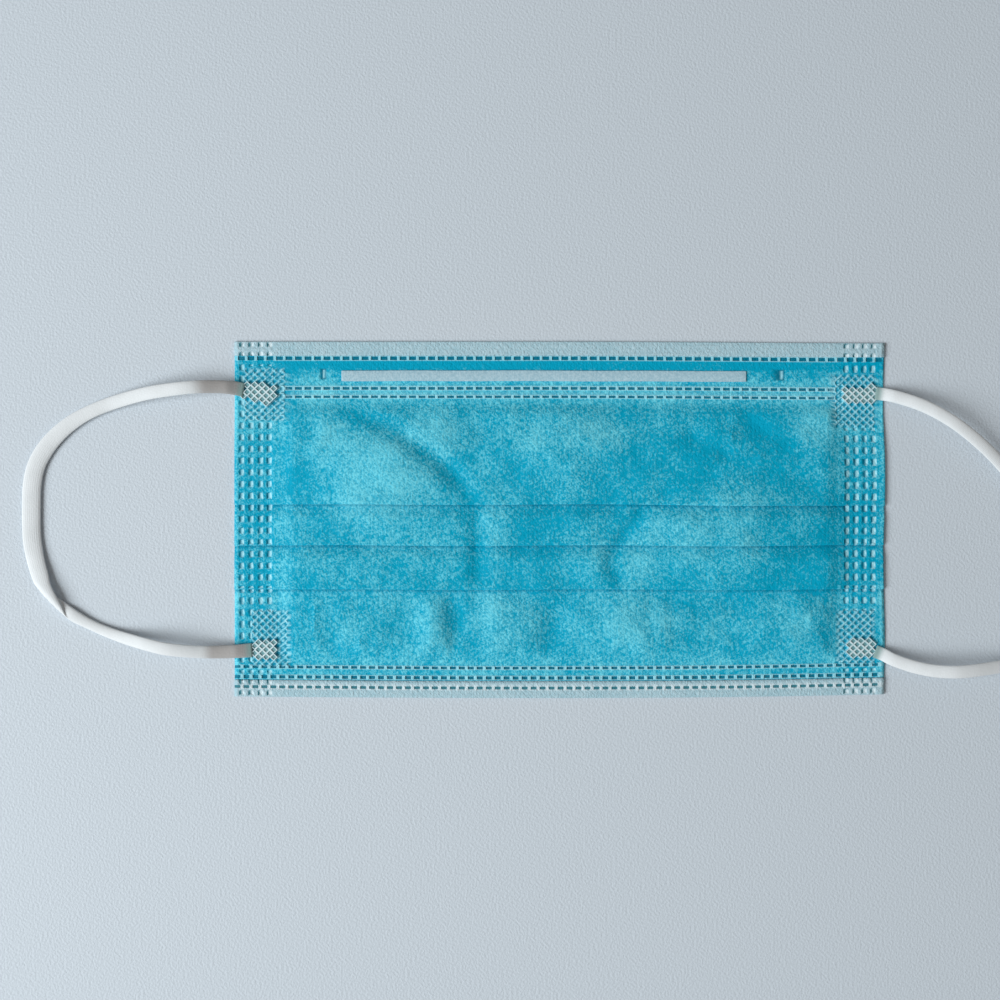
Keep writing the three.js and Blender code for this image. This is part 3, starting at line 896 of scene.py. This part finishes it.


# Marks the blue cloth, while it is still flat, with its pale and deep tones, its welds, and painted shade and
# highlights.
def paintCloth(piece):
    look = toneLook
    mesh = piece.data
    x, y = readPlaces(mesh)[:2]
    inSeal = ease((np.abs(x) - look["sealFrom"]) / look["sealRamp"])
    gradual, sharp = singleRun(y, look["panelEnds"]), singleRun(y, look["sealEnds"])
    tone = look["single"] * gradual * (1 - inSeal) + look["seal"] * inSeal * (sharp - look["sealEven"])
    tone += look["margin"] * ease((np.abs(x) - look["marginFrom"]) / look["marginRamp"])
    for row in toneBands:
        tone += row["tone"] * softBox(x, y, row["x"], row["y"], look["bandEdge"])
    # paler on the swellings and deeper in the valleys: partly the blue ply's translucency, partly painted
    # light and shade
    tone += look["byRise"] * (looseRise(x, y) - look["evenRise"]) * looseShare(x, y)
    for spot in paleSpots:
        u = (x - spot["x"]) / spot["reachX"]
        v = (y - spot["y"]) / spot["reachY"]
        tone += spot["tone"] * np.exp(-(u * u + v * v))
    patch = patchMask(x, y)
    ridges = knurlRidges(x, y)
    tone += patch * (look["ridge"] * ridges - look["pit"])
    writeLayer(mesh, "pale", tone)
    dark, bright = readLayer(mesh, "weld"), readLayer(mesh, "paleAndGlint")
    # painted shade: a thin dark line in the crevice under each pleat's front fold
    low = readLayer(mesh, "lift") < sheetLook["levelStep"]
    for pleat in pleats:
        away = (y - pleat["front"] + 0.02) / look["foldHalf"]
        dark = np.maximum(dark, look["foldDark"] * low * np.exp(-(away**2)))
    # a painted highlight on the raised ridges between the seams' dashes, which are also a little whiter
    rims = look["rimBright"] * seamRims(x, y, topSeams + bottomSeams)
    bright = np.maximum(bright, rims * (dark < 0.5))
    broken = np.array([noise.noise(Vector((a, b, 9))) for a, b in zip(x, y)])
    dark = np.maximum(dark, look["pitDark"] * patch * (1 - ridges))
    bright = np.maximum(bright, patch * ridges * np.clip(0.75 + 0.9 * broken, 0.15, 1))
    inset, edge = markLook["highlightInset"], markLook["paintEdge"]
    # painted shade round each stop mark, mostly on its left, and a painted highlight right of its middle
    for mark in stopMarks:
        boundsX, boundsY = markBounds(mark)
        highlightX = [mark["x"] + away for away in markLook["highlightX"]]
        middle = softBox(x, y, highlightX, (boundsY[0] + inset, boundsY[1] - inset), edge)
        dark = np.maximum(dark, softBox(x, y, boundsX, boundsY, edge)) * (1 - middle)
        bright = np.maximum(bright, middle)
    writeLayer(mesh, "weld", dark)
    writeLayer(mesh, "paleAndGlint", bright)


def paintHem(piece):
    mesh = piece.data
    x, y = readPlaces(mesh)[:2]
    dark, bright = readLayer(mesh, "weld"), readLayer(mesh, "paleAndGlint")
    # a painted highlight on the raised ridges between the hem's dashes, which are also a little whiter
    rims = seamRims(x, y, hemSeams)
    writeLayer(mesh, "paleAndGlint", np.maximum(bright, rims * (dark < 0.5)))


# Gives the flat folded grid its swellings, pressed seals and marks.
def shapeCloth(piece, pressed):
    look = sheetLook
    mesh = piece.data
    x, y, z = readPlaces(mesh)
    free, lift = readLayer(mesh, "free"), readLayer(mesh, "lift")
    seal = ease((np.abs(x) - look["looseFrom"]) / look["sealRamp"])
    z = z - seal * (1 - look["sealPressing"]) * lift
    z = z + free * looseShare(x, y) * looseRise(x, y)
    if pressed:
        z = z - pressedDepth(x, y) * (free > 0.99)
    warpedX, warpedY = warp(x, y)
    mesh.vertices.foreach_set("co", (np.column_stack([warpedX, warpedY, z]) * mm).ravel())
    mesh.update()


# Divides the faces that show more finely, in the bounds and half a millimetre round them.
def refine(bm, boundsX, boundsY, cuts):
    freeLayer = bm.verts.layers.float["free"]
    edges = set()
    for face in bm.faces:
        spot = face.calc_center_median()
        inside = boundsX[0] - 0.5 < spot.x < boundsX[1] + 0.5 and boundsY[0] - 0.5 < spot.y < boundsY[1] + 0.5
        if inside and min(corner[freeLayer] for corner in face.verts) > 0.99 and face.normal.z > 0.5:
            edges.update(face.edges)
    bmesh.ops.subdivide_edges(bm, edges=list(edges), cuts=cuts, use_grid_fill=True)


def sideLines():
    half = sideDash["width"] / 2
    return [column + sign * half for column in sideColumns for sign in (-1, 1)]


def flatEdges(dash, low, high, ends):
    return [edge for pair in dashEdges(dash, low, high) for edge in pair if abs(edge) < ends]


# Where each pleat's cloth starts to climb, is half way up, and folds
def climbLines():
    lines = []
    for pleat in pleats:
        back = pleat["front"] + pleat["hidden"]
        climb = pleat.get("climb", sheetLook["climb"])
        lines += [back + climb * share for share in (0, 0.5, 1)]
        lines += [pleat["front"] + away for away in (0.6, 0.2, -0.2, -0.8)]
    return lines


def makeOuterLayer():
    look = sheetLook
    sideRows = flatEdges(sideDash, chinEdge, noseEdge, 100)
    seamRows = [seam["top"] + out for seam in topSeams + bottomSeams for out in (0, 0.2)]
    seamRows += [seam["bottom"] - out for seam in topSeams + bottomSeams for out in (0, 0.2)]
    startY = noseEdge - 0.7
    endY = chinEdge + 0.9
    rowLines = gridLines(endY, startY, seamRows + sideRows + climbLines(), gridLook["rows"])
    rows = offsetRows(sectionRows(startY, endY, rowLines), look["plyOffset"])
    topWanted = flatEdges(topDash, -halfLength, halfLength, halfLength) + sideLines()
    bottomWanted = flatEdges(bottomDash, -halfLength, halfLength, halfLength) + sideLines()
    topColumns = gridLines(-halfLength, halfLength, topWanted, gridLook["columns"])
    bottomColumns = gridLines(-halfLength, halfLength, bottomWanted, gridLook["columns"])
    # the two grids meet under the last pleat, one row behind the first line that shows below it
    split = len(rows) - sum(line <= pleats[-1]["front"] + look["tuck"] for line in rowLines) - 1
    bm = newCloth()
    upper, upperCells = addSheetGrid(bm, topColumns, rows[:split])
    lower, lowerCells = addSheetGrid(bm, bottomColumns, rows[split:])
    upperRow = set(upper[: len(topColumns)])
    lowerRow = set(lower[-len(bottomColumns):])
    seamEdges = [e for e in bm.edges if set(e.verts) <= upperRow or set(e.verts) <= lowerRow]
    bmesh.ops.bridge_loops(bm, edges=seamEdges)
    bm.normal_update()
    upperSeams, upperSeals = dashFaces(bm, upperCells, topSeams, look["blueShown"])
    lowerSeams, lowerSeals = dashFaces(bm, lowerCells, bottomSeams, look["blueShown"])
    pressSeams(bm, upperSeams + lowerSeams)
    pressSeals(bm, upperSeals + lowerSeals)
    bm.normal_update()
    for patch in patches:
        refine(bm, patch["x"], patch["y"], knurl["cuts"])
    besideX, besideY = markLook["reach"]
    for mark in stopMarks:
        boundsX = (mark["x"] - besideX, mark["x"] + besideX)
        boundsY = (mark["y"] - besideY, mark["y"] + besideY)
        refine(bm, boundsX, boundsY, markLook["cuts"])
    piece = meshFrom(bm, "outer_layer")
    paintCloth(piece)
    shapeCloth(piece, True)
    addWall(piece, look["plyWall"])
    return piece


def addWall(piece, thickness):
    piece.data.set_sharp_from_angle(angle=math.radians(24))
    wall = piece.modifiers.new("wall", "SOLIDIFY")
    wall.thickness = thickness * mm
    wall.offset = 0
    wall.use_even_offset = False


# The white ply lies under the blue one and is turned over both edges to the front.
def makeInnerLayer():
    look = sheetLook
    sideRows = flatEdges(sideDash, chinEdge, noseEdge, 100)
    rowLines = gridLines(chinEdge + 0.6, noseEdge - 0.6, climbLines(), gridLook["whiteRows"])
    rows = offsetRows(sectionRows(noseEdge - 0.6, chinEdge + 0.6, rowLines), -look["plyOffset"])
    rows = [(y, z, look["innerFollows"] * free, lift) for y, z, free, lift in rows]
    under = rows[0][1]
    over = clothTop + look["plyWall"] / 2 + look["hemGap"]
    radius = (over - under) / 2

    def turned(edgeY, inward, flapEnd, lines):
        arc = []
        for index in range(look["hemSteps"] + 1):
            angle = math.radians(-90 + 180 * index / look["hemSteps"])
            away = inward * radius * (1 - math.cos(angle))
            arc.append((edgeY + away, under + radius * (1 + math.sin(angle)), 1.0, 0.0))
        flap = [(y, over, 1.0, 0.0) for y in lines if abs(y - flapEnd) > 0.1] + [(flapEnd, over, 1.0, 0.0)]
        return arc + flap

    noseLines = gridLines(topHemEnd, noseEdge - 0.6, sideRows, gridLook["hemRows"])
    noseLines = [y for y in noseLines if y < noseEdge - 0.8]
    chinWanted = sideRows + [hemSeams[0]["top"], hemSeams[0]["bottom"]]
    chinLines = gridLines(chinEdge + 0.6, bottomHemEnd, chinWanted, gridLook["hemRows"])
    chinLines = [y for y in chinLines if y > chinEdge + 0.8]
    nosePart = turned(noseEdge, -1, topHemEnd, noseLines[::-1])[::-1]
    chinPart = turned(chinEdge, 1, bottomHemEnd, chinLines)
    allRows = nosePart + rows[1:-1] + chinPart
    wanted = flatEdges(bottomDash, -halfLength, halfLength, halfLength) + sideLines()
    columns = gridLines(-halfLength, halfLength, wanted, gridLook["whiteColumns"])
    bm = newCloth()
    cells = addSheetGrid(bm, columns, allRows)[1]
    bm.normal_update()
    flap = {}
    for face, (x, y) in cells.items():
        if face.calc_center_median().z > over - 0.05 and (y > topHemEnd - 0.1 or y < bottomHemEnd + 0.1):
            flap[face] = (x, y)
    bmesh.ops.reverse_faces(bm, faces=bm.faces[:])
    bm.normal_update()
    inSeams, inSeals = dashFaces(bm, flap, hemSeams, noseEdge)
    pressSeams(bm, inSeams)
    pressSeals(bm, inSeals)
    piece = meshFrom(bm, "inner_layer")
    paintHem(piece)
    shapeCloth(piece, False)
    addWall(piece, look["plyWall"])
    return piece


spunbondLook = {
    "streaks": ((0.35, 1.25, 0.42), (-0.8, 1.15, 0.40), (1.5, 1.2, 0.44)),  # turn, length and width
    "points": (2.3, 2.14),  # from one bond point to the next, along and across
}
streakNoise = {"Detail": 2.0, "Roughness": 0.6, "Distortion": 0.4}
blueFinish = {
    "deep": (0.0, 0.365, 0.555, 1),
    "pale": (0.165, 0.68, 0.82, 1),
    # the colour of welds and of painted shade
    "weld": (0.0, 0.15, 0.24, 1),
    "weldShare": 0.9,
    # the colour of painted highlights and of paler ridges
    "paleAndGlint": (0.44, 0.80, 0.88, 1),
    "paleAndGlintShare": 0.85,
}
whiteFinish = {
    "deep": (0.31, 0.52, 0.60, 1),
    "pale": (0.49, 0.665, 0.735, 1),
    # the colour of welds and of painted shade
    "weld": (0.005, 0.17, 0.22, 1),
    "weldShare": 0.9,
    # the colour of painted highlights and of paler ridges
    "paleAndGlint": (0.75, 0.86, 0.90, 1),
    "paleAndGlintShare": 0.7,
}


# Spunbond cloth: fibres, bond points and clouds, as masks that a material mixes
def spunbondGroup():
    tree = bpy.data.node_groups.new("spunbond", "ShaderNodeTree")
    tree.interface.new_socket("Place", in_out="INPUT", socket_type="NodeSocketVector")
    for name in ("Fibres", "Points", "Clouds", "Height"):
        tree.interface.new_socket(name, in_out="OUTPUT", socket_type="NodeSocketFloat")
    place = addNode(tree, "NodeGroupInput").outputs["Place"]
    streaks = []
    for turn, long, wide in spunbondLook["streaks"]:
        inputs = {"Vector": place, "Rotation": (0, 0, turn), "Scale": (long, wide, 1.0)}
        mapping = addNode(tree, "ShaderNodeMapping", inputs, vector_type="TEXTURE")
        inputs = {"Vector": mapping.outputs[0], "Scale": 1.0, **streakNoise}
        streaks.append(addNode(tree, "ShaderNodeTexNoise", inputs).outputs[0])
    fibres = calc(tree, "ADD", calc(tree, "ADD", streaks[0], streaks[1]), streaks[2])
    fibres = calc(tree, "MULTIPLY_ADD", fibres, 2.2, -2.85, clamp=True)
    split = addNode(tree, "ShaderNodeSeparateXYZ", {0: place})
    waves = [
        calc(tree, "COSINE", calc(tree, "MULTIPLY", split.outputs[axis], 2 * math.pi / period))
        for axis, period in enumerate(spunbondLook["points"])
    ]
    points = calc(tree, "POWER", calc(tree, "MAXIMUM", calc(tree, "MULTIPLY", *waves), 0.0), 2.5)
    clouds = addNode(tree, "ShaderNodeTexNoise", {"Vector": place, "Scale": 0.13, "Detail": 4.0}).outputs[0]
    grain = addNode(tree, "ShaderNodeTexNoise", {"Vector": place, "Scale": 1.5, "Detail": 3.0}).outputs[0]
    height = calc(tree, "ADD", calc(tree, "MULTIPLY", fibres, 0.5), calc(tree, "MULTIPLY", grain, 0.8))
    height = calc(tree, "SUBTRACT", height, calc(tree, "MULTIPLY", points, 0.45))
    out = addNode(tree, "NodeGroupOutput")
    for name, value in (("Fibres", fibres), ("Points", points), ("Clouds", clouds), ("Height", height)):
        tree.links.new(value, out.inputs[name])
    return tree


spunbond = spunbondGroup()


def addSpunbond(tree):
    node = addNode(tree, "ShaderNodeGroup", node_tree=spunbond)
    tree.links.new(placeInMm(tree), node.inputs["Place"])
    return node.outputs


# The cloth's own colour, then its welds and painted shade, then its painted highlights and paler ridges
def clothColour(tree, share, finish):
    weld = calc(tree, "MULTIPLY", attribute(tree, "weld"), finish["weldShare"])
    paleAndGlint = calc(tree, "MULTIPLY", attribute(tree, "paleAndGlint"), finish["paleAndGlintShare"])
    colour = mixColours(tree, share, finish["deep"], finish["pale"])
    colour = mixColours(tree, weld, colour, finish["weld"])
    return mixColours(tree, paleAndGlint, colour, finish["paleAndGlint"])


def blueMaterial():
    material, tree, shader = newMaterial("blue spunbond", 0.65, 0.06)
    masks = addSpunbond(tree)
    share = calc(tree, "MULTIPLY_ADD", masks["Clouds"], 1.2, -0.78)
    share = calc(tree, "ADD", share, calc(tree, "MULTIPLY", masks["Fibres"], 0.95))
    share = calc(tree, "ADD", share, attribute(tree, "pale"), clamp=True)
    tree.links.new(clothColour(tree, share, blueFinish), shader.inputs["Base Color"])
    roughness = calc(tree, "MULTIPLY_ADD", attribute(tree, "weld"), -0.2, 0.6)
    tree.links.new(roughness, shader.inputs["Roughness"])
    addBump(tree, shader, masks["Height"], 0.24 * mm, 0.6)
    return material


def whiteMaterial():
    material, tree, shader = newMaterial("white spunbond", 0.75, 0.2)
    masks = addSpunbond(tree)
    share = calc(tree, "MULTIPLY", masks["Clouds"], 0.7)
    share = calc(tree, "ADD", share, calc(tree, "MULTIPLY", masks["Fibres"], 0.5), clamp=True)
    tree.links.new(clothColour(tree, share, whiteFinish), shader.inputs["Base Color"])
    addBump(tree, shader, masks["Height"], 0.2 * mm, 0.85)
    return material


outerLayer = makeOuterLayer()
setPiece(outerLayer, "outer_nonwoven", blueMaterial(), "pleated_body")
print("outer layer", len(outerLayer.data.polygons), "faces")
innerLayer = makeInnerLayer()
setPiece(innerLayer, "inner_nonwoven", whiteMaterial(), "pleated_body", "top_hem", "bottom_hem")
print("inner layer", len(innerLayer.data.polygons), "faces")

# nose strip
print("nose strip")
stripLook = {"height": 0.45, "cuts": 90, "bevel": 0.16, "segments": 3, "waver": 0.12}


def makeStrip():
    low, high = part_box("nose_strip")
    bm = bmesh.new()
    bmesh.ops.create_cube(bm, size=1)
    size = high - low
    bottom = clothTop * mm
    height = stripLook["height"] * mm
    middle = Vector(((low.x + high.x) / 2, (low.y + high.y) / 2, bottom + height / 2))
    bmesh.ops.scale(bm, vec=(size.x, size.y, height), verts=bm.verts[:])
    bmesh.ops.translate(bm, vec=middle, verts=bm.verts[:])
    long = [edge for edge in bm.edges if abs(edge.verts[0].co.x - edge.verts[1].co.x) > 1 * mm]
    bmesh.ops.subdivide_edges(bm, edges=long, cuts=stripLook["cuts"])
    ends = [e for e in bm.edges if len(e.link_faces) == 2 and e.calc_face_angle(0) > 1]
    bmesh.ops.bevel(
        bm,
        geom=ends,
        offset=stripLook["bevel"] * mm,
        affect="EDGES",
        segments=stripLook["segments"],
        profile=0.5,
        material=-1,
    )
    for corner in bm.verts:
        place = Vector((corner.co.x / mm * 0.08, 0, 3))
        corner.co.z += stripLook["waver"] * mm * noise.noise(place)
        corner.co.y += stripLook["waver"] * mm * noise.noise(place * 0.6 + Vector((9, 0, 0)))
        warpedX, warpedY = warp(np.array(corner.co.x / mm), np.array(corner.co.y / mm))
        corner.co.x, corner.co.y = float(warpedX) * mm, float(warpedY) * mm
    return meshFrom(bm, "nose_wire_strip")


def stripMaterial():
    material, tree, shader = newMaterial("white strip", 0.6, 0.35)
    masks = addSpunbond(tree)
    colour = mixColours(tree, masks["Fibres"], (0.33, 0.52, 0.61, 1), (0.46, 0.64, 0.72, 1))
    tree.links.new(colour, shader.inputs["Base Color"])
    addBump(tree, shader, masks["Height"], 0.1 * mm, 0.5)
    return material


strip = makeStrip()
setPiece(strip, "strip_plastic", stripMaterial(), "nose_strip")

# knurled ends of the band
print("weld pads")
padLook = {
    "halfWide": 2.2,  # of the band's end
    "cells": 16,  # along each side of the lattice, before it is cut to the band's end
    "leastFloor": 0.45,  # in square millimetres, the smallest face that is a diamond's floor
    "lift": 0.3,
    "wall": 0.5,
    "ridge": 0.22,
    "slope": 0.2,
    "depth": 0.28,
    "overBand": 0.5,
    "inset": 0.9,
}
pads = [
    {"node": "upper_left_weld", "name": "upper_left_pad", "slant": -15},
    {"node": "lower_left_weld", "name": "lower_left_pad", "slant": 0},
    {"node": "upper_right_weld", "name": "upper_right_pad", "slant": 2},
    {"node": "lower_right_weld", "name": "lower_right_pad", "slant": 3},
]


# A lattice of pressed diamonds. Those whose middle lies in the band's end are kept, so its edge is a zigzag.
def makePad(pad):
    low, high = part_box(pad["node"])
    middle = (low + high) / 2
    slant = math.radians(pad["slant"])
    size = (high - low) / mm
    halfWide, cells = padLook["halfWide"], padLook["cells"]
    halfLong = (size.x - 2 * halfWide * abs(math.sin(slant))) / 2 / math.cos(slant)
    bm = bmesh.new()
    bmesh.ops.create_grid(bm, x_segments=cells, y_segments=cells, size=cells / 2)
    bmesh.ops.rotate(bm, matrix=Matrix.Rotation(math.pi / 4, 3, "Z"), verts=bm.verts[:])
    half = math.sqrt(0.5)
    bmesh.ops.scale(bm, vec=(knurl["width"] * half, knurl["height"] * half, 1), verts=bm.verts[:])
    stepX, stepY = knurl["width"], knurl["height"]
    shift = Vector((round(middle.x / mm / stepX) * stepX, round(middle.y / mm / stepY) * stepY, 0))
    bmesh.ops.translate(bm, vec=shift, verts=bm.verts[:])
    outside = []
    for face in bm.faces:
        spot = face.calc_center_median() - middle / mm
        along = spot.x * math.cos(slant) + spot.y * math.sin(slant)
        beside = spot.y * math.cos(slant) - spot.x * math.sin(slant)
        outward = along if middle.x > 0 else -along
        pastEnds = outward > halfLong + padLook["overBand"] or outward < padLook["inset"] - halfLong
        if pastEnds or abs(beside) > halfWide + 0.1:
            outside.append(face)
    bmesh.ops.delete(bm, geom=outside, context="FACES")
    bmesh.ops.inset_individual(bm, faces=bm.faces[:], thickness=padLook["ridge"], depth=0)
    floors = [face for face in bm.faces if face.calc_area() > padLook["leastFloor"] and len(face.verts) == 4]
    bmesh.ops.inset_individual(bm, faces=floors, thickness=padLook["slope"], depth=-padLook["depth"])
    pit = bm.verts.layers.float.new("pit")
    for face in floors:
        for corner in face.verts:
            corner[pit] = 1
    top = clothTop + padLook["lift"] + padLook["wall"]
    for corner in bm.verts:
        corner.co.z += top
        warpedX, warpedY = warp(np.array(corner.co.x), np.array(corner.co.y))
        corner.co.x, corner.co.y = float(warpedX), float(warpedY)
    bmesh.ops.scale(bm, vec=(mm, mm, mm), verts=bm.verts[:])
    piece = meshFrom(bm, pad["name"], smooth=False)
    wall = piece.modifiers.new("wall", "SOLIDIFY")
    wall.thickness = padLook["wall"] * mm
    wall.offset = -1
    return piece


def padMaterial():
    material, tree, shader = newMaterial("pressed elastic", 0.45, 0.5)
    masks = addSpunbond(tree)
    pit = attribute(tree, "pit")
    colour = mixColours(tree, masks["Fibres"], (0.52, 0.70, 0.74, 1), (0.72, 0.85, 0.88, 1))
    colour = mixColours(tree, pit, colour, (0.14, 0.32, 0.35, 1))
    tree.links.new(colour, shader.inputs["Base Color"])
    addBump(tree, shader, masks["Height"], 0.05 * mm, 0.5)
    return material


pressedElastic = padMaterial()
for pad in pads:
    setPiece(makePad(pad), "elastic_band", pressedElastic, pad["node"])

# table, light and air
print("table and light")
table = {"half": 2.5, "colour": (0.585, 0.645, 0.70, 1)}
light = {
    "way": (-0.70, -0.24, 0.62),
    "distance": 1.6,
    "size": 1.1,
    "power": 31.0,
    "colour": (0.93, 0.975, 1.0),
}
air = {"colour": (1.0, 0.95, 0.91, 1), "strength": 0.24}


def makeTable():
    bm = bmesh.new()
    bmesh.ops.create_grid(bm, x_segments=2, y_segments=2, size=table["half"])
    floor = meshFrom(bm, "table")
    material, tree, shader = newMaterial("painted table", 0.55, 0.3)
    place = placeInMm(tree)
    fine = addNode(tree, "ShaderNodeTexNoise", {"Vector": place, "Scale": 1.5, "Detail": 4.0}).outputs[0]
    shader.inputs["Base Color"].default_value = table["colour"]
    addBump(tree, shader, fine, 0.2 * mm, 0.9)
    floor.data.materials.append(material)


def makeLight():
    data = bpy.data.lights.new("window", "AREA")
    data.size = light["size"]
    data.energy = light["power"]
    data.color = light["colour"]
    lamp = bpy.data.objects.new("window", data)
    way = Vector(light["way"]).normalized()
    target = Vector((*view["centre"], 0)) * mm
    lamp.location = target + way * light["distance"]
    lamp.rotation_euler = way.to_track_quat("Z", "Y").to_euler()
    bpy.context.collection.objects.link(lamp)


def makeAir():
    world = bpy.data.worlds.new("air")
    world.use_nodes = True
    background = world.node_tree.nodes["Background"]
    background.inputs[0].default_value = air["colour"]
    background.inputs[1].default_value = air["strength"]
    bpy.context.scene.world = world
    bpy.context.scene.view_settings.view_transform = "Standard"


makeTable()
makeLight()
makeAir()

bpy.context.view_layer.update()
